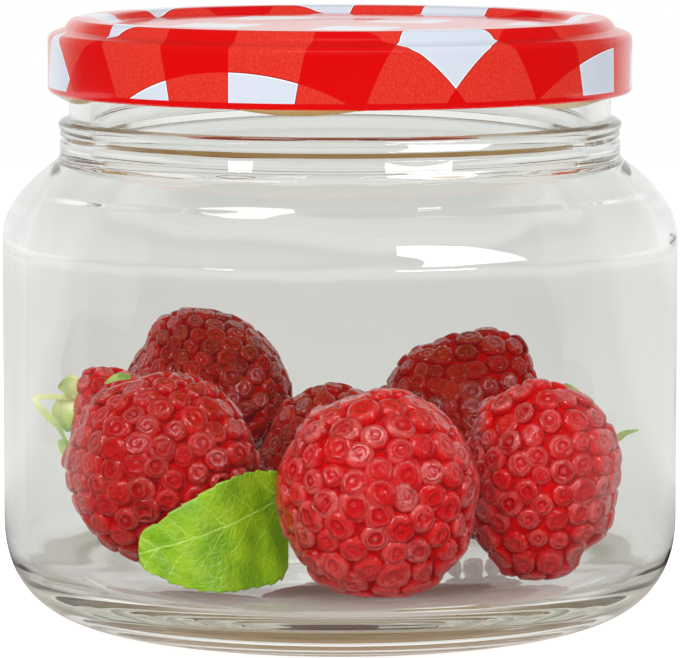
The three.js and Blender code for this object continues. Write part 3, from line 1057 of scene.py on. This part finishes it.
def leaf_mesh():
    fronts, backs, maps = [], [], []
    length = 0.0
    previous = None
    for i in range(LEAF_ROWS):
        u = i / (LEAF_ROWS - 1)
        at = spline(LEAF_BEND, u)
        ahead = spline(LEAF_BEND, min(1, u + 0.01)) - spline(LEAF_BEND, max(0, u - 0.01))
        ahead /= np.linalg.norm(ahead)
        if previous is not None:
            length += float(np.linalg.norm(at - previous))
        previous = at
        tooth = TOOTH * ((-u * TEETH) % 1.0) * min(1.0, 6 * u)
        blunt = math.sqrt(1 - max(0.0, 1 - u / BLUNT_END) ** 2)
        edges = (
            float(spline([[z] for z in heights], max(u, BLUNT_END))[0])
            for heights in (LEAF_UPPER, LEAF_LOWER)
        )
        upper, lower = (LEAF_END + (edge - LEAF_END) * blunt for edge in edges)
        upper += (tooth * 0.6 - TOOTH / 2) * blunt
        lower += (TOOTH / 2 - tooth) * blunt
        for j in range(LEAF_COLUMNS):
            v = j / (LEAF_COLUMNS - 1)
            height = lower + (upper - lower) * v
            side = 2 * v - 1
            wave = LEAF_WAVE * math.sin(u * 5 * math.pi) * side**2 * math.sin(u * math.pi)
            trough = -0.5 * (1 - side**2) * math.sin(u * math.pi) + 0.25
            ripple = LEAF_RIPPLE * math.sin(u * 34 + side * 5) * (1 - side**2)
            thick = LEAF_THICKNESS / 2 * (1 - 0.6 * abs(side) ** 8)
            for store, way in ((fronts, 1), (backs, -1)):
                out = wave + trough * 0.5 + ripple + way * thick
                place = (at[0] + ahead[1] * out, at[1] - ahead[0] * out, height)
                store.append([c * MM for c in place])
            maps.append((length, height))
    piece = place_mesh("leaf_blade", fronts + backs, sheet_faces(LEAF_ROWS, LEAF_COLUMNS))
    lay_map(piece, maps * 2)
    return piece


# %% Green with pale veins
MIDRIB_START, MIDRIB_LIFT = 12.2, 0.26
VEIN_SPACING = 4.3
VEIN_LEAN = 0.95


def leaf_skin(graph):
    spread = graph.add("ShaderNodeUVMap", {"uv_map": "spread"}).out(0)
    along, height, _ = graph.split(spread)
    wobble = (graph.noise(spread, 0.5, 2) - 0.5) * 1.1
    side = height - (along * MIDRIB_LIFT + MIDRIB_START) + wobble * 0.4
    away = abs(side)
    midrib = away.between(0.2, 0.02)
    order = (along + away * VEIN_LEAN + wobble) / VEIN_SPACING
    near = abs(order % 1 - 0.5) * VEIN_SPACING
    veins = near.between(0.16, 0.01) * away.between(6.5, 2.0)
    cells = graph.add("ShaderNodeTexVoronoi", {"feature": "DISTANCE_TO_EDGE"}, {
        "Vector": spread, "Scale": 1.15,
    }).out(0)
    net = cells.between(0.09, 0.0) * 0.16
    pale = midrib.most(veins * 0.8).most(net)
    patches = graph.noise(spread, 0.28, 3).between(0.35, 0.65)
    green = graph.blend(patches, paint(112, 160, 1), paint(142, 182, 6))
    return {
        "Base Color": graph.blend(pale * 0.7, green, paint(184, 214, 92)),
        "Roughness": 0.42 + patches * 0.1,
        "Subsurface Weight": 0.2,
        "Subsurface Radius": (0.5, 1.0, 0.15),
        "Subsurface Scale": 0.6 * MM,
        "Specular IOR Level": 0.25,
        "Normal": graph.bump(0.6, 0.25 * MM, cells.least(0.35) - pale * 0.2),
    }


leaf = leaf_mesh()
leaf.data.materials.append(finish_material("leaf_skin", leaf_skin))
dress(leaf, "leaf_green", "leaf")

# %% [markdown]
# ## The stem tips
#
# Two berries keep their green: a few thin sepals that curl away from the stem. Each is a
# narrow blade swept along a few points, widest in its middle and pointed at its end. A curve
# with a bevel would be round in section, and a sepal is flat, so it is a thin sheet as well.

# %% Blades swept along a curve
SEPALS = {
    "left": [
        {"path": [(-33.6, 2.6, 26.4), (-35.8, 1.6, 26.7), (-38.2, 0.9, 26.9),
                  (-36.9, -0.1, 25), (-35.2, -1, 22.2), (-33.9, -1.6, 18.4)],
         "width": 0.7, "facing": (0, -1, 0.3)},
        {"path": [(-35.5, -0.4, 21.8), (-34.8, -0.9, 20.4),
                  (-34, -1.4, 18.7), (-33.3, -1.8, 16.7)],
         "width": 1.5, "facing": (0, -1, 0.2), "start": 0.75},
        {"path": [(-33, 2.8, 26.8), (-34.4, 2, 28), (-36.3, 1.4, 27.9)],
         "width": 3.0, "facing": (0.2, -1, 0.4)},
        {"path": [(-33.4, 2.8, 26.8), (-35.2, 2.4, 25.2), (-34.9, 2, 22.4)],
         "width": 3.2, "facing": (-0.3, -1, 0)},
        {"path": [(-26.2, -4.6, 30.2), (-27.4, -5, 30.3), (-28.8, -4.8, 29.4)],
         "width": 0.9, "facing": (0.1, -1, 0.5), "start": 0.9},
    ],
    "right": [
        {"path": [(30.6, 2.4, 23.6), (32.8, 1, 21.9), (34.3, -0.2, 21.9),
                  (35.7, -0.8, 22.7), (37.9, -1.2, 23.2)],
         "width": 1.1, "facing": (0, -1, 0.4)},
        {"path": [(30.6, 2.2, 23.8), (30.9, 0.6, 26.8), (29.7, -2, 28.2), (28.2, -4, 29.2)],
         "width": 1.5, "facing": (0.5, -0.5, 1)},
    ],
}
BLADE_ROWS, BLADE_COLUMNS = 41, 9
SEPAL_THICKNESS = 0.36
print({side: len(blades) for side, blades in SEPALS.items()}, "sepals")


def blade(path, width, facing, start=0.0):
    """Vertices of one sepal, front grid then back grid, and its map. start says how green."""
    facing = np.array(facing, float) / np.linalg.norm(facing)
    fronts, backs, maps = [], [], []
    for i in range(BLADE_ROWS):
        u = i / (BLADE_ROWS - 1)
        at = spline(path, u)
        ahead = spline(path, min(1, u + 0.02)) - spline(path, max(0, u - 0.02))
        across = np.cross(ahead, facing)
        across /= np.linalg.norm(across)
        half = width / 2 * (0.06 + 0.94 * math.sin(math.pi * min(1, 0.15 + 0.84 * u)))
        for j in range(BLADE_COLUMNS):
            v = 2 * j / (BLADE_COLUMNS - 1) - 1
            cup = 0.18 * width * v * v
            thick = SEPAL_THICKNESS / 2 * (1 - 0.6 * v * v)
            middle = at + across * half * v
            fronts.append((middle + facing * (cup + thick)) * MM)
            backs.append((middle + facing * (cup - thick)) * MM)
            maps.append((start + (1 - start) * u, v))
    return fronts + backs, maps * 2


# %% Pale at the stem, green at the tip
def sepal_skin(graph):
    spread = graph.add("ShaderNodeUVMap", {"uv_map": "spread"}).out(0)
    along, across, _ = graph.split(spread)
    cloud = graph.noise(graph.place(), 500, 2)
    ribs = abs((across * 3.5) % 1 - 0.5) * 2
    green = graph.blend(along.between(0.3, 0.9), paint(212, 218, 144), paint(112, 154, 24))
    return {
        "Base Color": graph.blend(cloud.between(0.4, 0.7) * 0.5, green, paint(188, 200, 92)),
        "Roughness": 0.45 + cloud * 0.1,
        "Subsurface Weight": 0.25,
        "Subsurface Radius": (0.6, 1.0, 0.2),
        "Subsurface Scale": 0.5 * MM,
        "Sheen Weight": 0.2,
        "Normal": graph.bump(0.4, 0.1 * MM, ribs),
    }


def sepals(side, blades, material):
    vertices, faces, maps = [], [], []
    for form in blades:
        grid, places = blade(**form)
        first = len(vertices)
        for face in sheet_faces(BLADE_ROWS, BLADE_COLUMNS):
            faces.append(tuple(first + corner for corner in face))
        vertices += grid
        maps += places
    piece = place_mesh("sepal_blades_" + side, vertices, faces)
    lay_map(piece, maps)
    piece.data.materials.append(material)
    dress(piece, "sepal_green", "sepals_" + side)


sepal_green = finish_material("sepal_skin", sepal_skin)
for side, blades in SEPALS.items():
    sepals(side, blades, sepal_green)

# %% [markdown]
# ## The studio
#
# The jar stands on a white table, painted darker under and round the jar as painted shade
# and lighter far off as painted light. Glass shows what is round it and little else, so the
# table and the room matter more than the lamps. A mirror image of a white table on the
# front of the jar would lay a grey veil over the berries. A black cloth in front of a jar
# prevents that in a studio, and here the table turns dark there, for such rays only.

# %% Table
TABLE_RADIUS = 0.7
TABLE_CORNERS = 96
TABLE_GAP = 0.05 * MM
# The table's white is painted darker near the jar as painted shade, and lighter far off as
# painted light.
PAINTED_SHADE_UNDER_JAR = (0.67, 0.655, 0.63, 1)
PAINTED_SHADE_AROUND_JAR = (0.77, 0.77, 0.76, 1)
PAINTED_LIGHT_FAR_OFF = (0.92, 0.92, 0.91, 1)
BLACK_CLOTH = (0.02, 0.02, 0.02, 1)
CLOTH_SHARE = 0.92
CAMERA_GLOW = 0.55
BLACK, WHITE = (0, 0, 0, 1), (1, 1, 1, 1)
table = bpy.data.meshes.new("table")
corners = [
    (TABLE_RADIUS * math.cos(turn), TABLE_RADIUS * math.sin(turn), -TABLE_GAP)
    for turn in np.linspace(0, 2 * math.pi, TABLE_CORNERS, endpoint=False)
]
table.from_pydata(corners, [], [tuple(range(len(corners)))])
floor = in_scene("table", table)


def light_path(graph):
    """The kind of a ray. A ray bent by glass counts as glossy too, but it isn't mirrored."""
    path = graph.add("ShaderNodeLightPath")
    through = path.out("Is Transmission Ray")
    return path, through, path.out("Is Glossy Ray") * (1 - through)


def table_white(graph):
    x, y, _ = graph.split(graph.place())
    reach = (x * x + y * y) ** 0.5
    path, through, mirrored = light_path(graph)
    side_on = y.between(0.12, 0.04) * mirrored
    in_front = y.between(0.02, -0.03) * through
    near_camera = (in_front * CLOTH_SHARE + side_on) * reach.between(0.044, 0.056)
    # Painted shade darkens the white under and round the jar, and painted light lifts it far off.
    white = graph.blend(reach.between(0.04, 0.075), PAINTED_SHADE_UNDER_JAR, PAINTED_SHADE_AROUND_JAR)
    white = graph.blend(reach.between(0.36, 0.58), white, PAINTED_LIGHT_FAR_OFF)
    return {
        "Base Color": graph.blend(near_camera, white, BLACK_CLOTH),
        "Roughness": 0.9,
        "Specular IOR Level": 0.0,
        "Emission Color": graph.blend(path.out("Is Camera Ray"), BLACK, WHITE),
        "Emission Strength": CAMERA_GLOW,
    }


floor.data.materials.append(finish_material("table_white", table_white))
floor.visible_shadow = False
print("table", TABLE_RADIUS * 2, "m across")

# %% [markdown]
# ### The room
#
# The room is brightest above and behind the jar and dim where the photographer stands, and
# that dim part draws the dark lines along the edges of the glass. A picture of a room could
# do it, but a few smooth steps over the direction say the same in numbers. Light Path tells
# rays that come off the glass from rays that pass through it. The first find the room dark
# but for a band at the back, and the second find only the camera's side dark.

# %% The room's light
ROOM_LEVEL, MORE_BEHIND, MORE_ABOVE = 0.34, 0.41, 0.32
MIRROR_LEVEL, MIRROR_MORE_BEHIND = 0.03, 0.87
FRONT_CUT = 0.92
HORIZON_GLOW = 0.13
world = bpy.data.worlds.new("room")
bpy.context.scene.world = world
world.cycles.sampling_method = "NONE"
world.use_nodes = True
room = Graph(world.node_tree)
direction = room.add("ShaderNodeTexCoord").out("Generated")
_, dy, dz = room.split(direction)
behind = dy.between(-0.6, 0.5)
above = dz.between(-0.05, 0.35)
path, through, mirrored = light_path(room)
towards = dy.between(0.45, -0.1) * through
soft = (ROOM_LEVEL + behind * MORE_BEHIND + above * MORE_ABOVE) * (1 - towards * FRONT_CUT)
low_back = dy.between(0.5, 0.9) * dz.between(0.5, 0.2)
soft = soft + low_back * dz.between(0.02, -0.04) * HORIZON_GLOW
crisp = MIRROR_LEVEL + low_back * MIRROR_MORE_BEHIND
level = soft + (crisp - soft) * mirrored
seen = path.out("Is Camera Ray")
grey = room.add("ShaderNodeCombineColor", None, {0: level, 1: level, 2: level * 0.99}).out(0)
backdrop = room.blend(seen, grey, WHITE)
shining = room.add("ShaderNodeBackground", None, {"Color": backdrop, "Strength": 1.0})
room.add("ShaderNodeOutputWorld", None, {"Surface": shining.out(0)})
print("the room's shader has", len(world.node_tree.nodes), "nodes")

# %% [markdown]
# ### Windows in the glass
#
# The sharp image of a window is what tells the eye that a surface is glass. A lamp of that
# shape would also light the berries, unevenly, so each window is a glowing card that shows
# only as a mirror image on the jar. Following rays from the camera off the glass gives the
# corners of each card. The two cells below make the cards and then place them.


# %% Cards that glow
CARD_RING = 500
WINDOW_GLOW, SILL_GLOW, SKY_GLOW = 11, 10, 8
glassware = bpy.data.collections.new("glassware")
glassware.objects.link(jar)


def around(azimuth, height):
    """A place on a ring round the jar, in millimetres. Azimuth 0 is the camera's side."""
    turn = math.radians(azimuth)
    return CARD_RING * math.sin(turn), -CARD_RING * math.cos(turn), height


def card(name, strength, corners):
    """A glowing card that shows only as a reflection."""
    places = [[c * MM for c in corner] for corner in corners]
    mesh = bpy.data.meshes.new(name)
    mesh.from_pydata(places, [], [tuple(range(len(corners)))])
    sheet = in_scene(name, mesh)
    sheet.data.materials.append(finish_material(name, lambda graph: {
        "Base Color": BLACK,
        "Specular IOR Level": 0.0,
        "Emission Color": WHITE,
        "Emission Strength": strength,
    }))
    sheet.visible_camera = False
    sheet.visible_diffuse = False
    sheet.visible_transmission = False
    sheet.visible_shadow = False
    sheet.light_linking.receiver_collection = glassware


# %% Windows and sills as turns and heights, skylights as places
ON_RING = {
    "window_right": (WINDOW_GLOW, [
        (20, 385), (27, 379), (32, 372), (39, 340), (43, 325), (48.6, 278),
        (54.3, 207), (58.7, 144), (62.8, 68), (54, 60), (45.4, 52), (38.5, 46),
        (33, 44), (26, 46), (25.7, 60), (27.1, 98), (25.2, 163), (18.6, 210),
    ]),
    "sill_right": (SILL_GLOW, [(17.4, 15), (44.4, 15), (44.4, 21.5), (17.4, 21.5)]),
    "sill_left": (SILL_GLOW, [(-44.2, 15), (-34.3, 15), (-34.3, 22), (-44.2, 22)]),
}
OVERHEAD = {
    "skylight_left": [
        (-233, 7, 502), (-173, -13, 527), (-78, -67, 548), (-82, -105, 543),
        (-163, -145, 517), (-228, -105, 500), (-238, -19, 501),
    ],
    "skylight_right_far": [(152, -39, 534), (189, -16, 522), (192, -28, 521), (155, -51, 533)],
    "skylight_right_near": [
        (135, -101, 533), (218, -52, 510), (225, -77, 505), (137, -114, 531),
    ],
}
for name, (glow, corners) in ON_RING.items():
    card(name, glow, [around(*corner) for corner in corners])
for name, corners in OVERHEAD.items():
    card(name, SKY_GLOW, corners)
print(len(ON_RING) + len(OVERHEAD), "cards glow round the jar")

# %% [markdown]
# ### Lamps
#
# One broad lamp gives the whole table its soft shadows, beside the painted shade round the
# jar. Painting the berries brighter still would make them look flat, so besides the painted
# glow and shade in their skins they have lamps of their own: one soft, and three that make
# highlights only. The lid has a narrow one that draws the line along its raised ring, and
# one from below for the gold inside.


# %% A lamp for each task
AIM = Vector((0, 0, 0.03))


def lamp(name, azimuth, elevation, distance, width, height, power, shines, only):
    """A soft box that looks at the jar. It shines as soft light or as a highlight."""
    data = bpy.data.lights.new(name, "AREA")
    data.shape = "RECTANGLE"
    data.size, data.size_y = width, height
    data.energy = power
    box = in_scene(name, data)
    a, e = math.radians(azimuth), math.radians(elevation)
    towards = Vector((math.sin(a) * math.cos(e), -math.cos(a) * math.cos(e), math.sin(e)))
    box.location = AIM + towards * distance
    box.rotation_euler = (-towards).to_track_quat("-Z", "Y").to_euler()
    box.visible_camera = False
    box.visible_transmission = False
    box.visible_diffuse = shines == "soft"
    box.visible_glossy = shines == "bright"
    if only:
        box.light_linking.receiver_collection = only
    if shines == "bright":
        data.cycles.use_multiple_importance_sampling = False


# %% What each lamp lights
food = bpy.data.collections.new("food")
for piece in bpy.context.scene.collection.objects:
    grown_here = piece.name not in frame["nodes"]
    if grown_here and piece.name.startswith(("berry_", "leaf_", "sepal_")):
        food.objects.link(piece)
tinware = bpy.data.collections.new("tinware")
tinware.objects.link(lid)
LAMPS = {
    # Azimuth and elevation in degrees, distance, width and height in metres, and watts.
    "soft_key": (-12, 38, 0.9, 0.9, 0.6, 3.6, "soft", None),
    "food_fill": (-6, 22, 0.8, 0.6, 0.5, 3.7, "soft", food),
    "food_left": (-40, 32, 0.6, 0.26, 0.34, 6.4, "bright", food),
    "food_right": (44, 26, 0.6, 0.18, 0.34, 4.8, "bright", food),
    "food_top": (5, 64, 0.6, 0.46, 0.18, 4.6, "bright", food),
    "lid_line": (0, 56, 0.6, 0.5, 0.03, 0.35, "bright", tinware),
    "under_lid": (0, -80, 0.5, 0.4, 0.4, 1.3, "soft", tinware),
}
for name, settings in LAMPS.items():
    lamp(name, *settings)

# %% Colours as they are
view = bpy.context.scene.view_settings
view.view_transform = "Standard"
view.look = "None"
view.exposure = 0
view.gamma = 1
print("colours are shown as", view.view_transform)
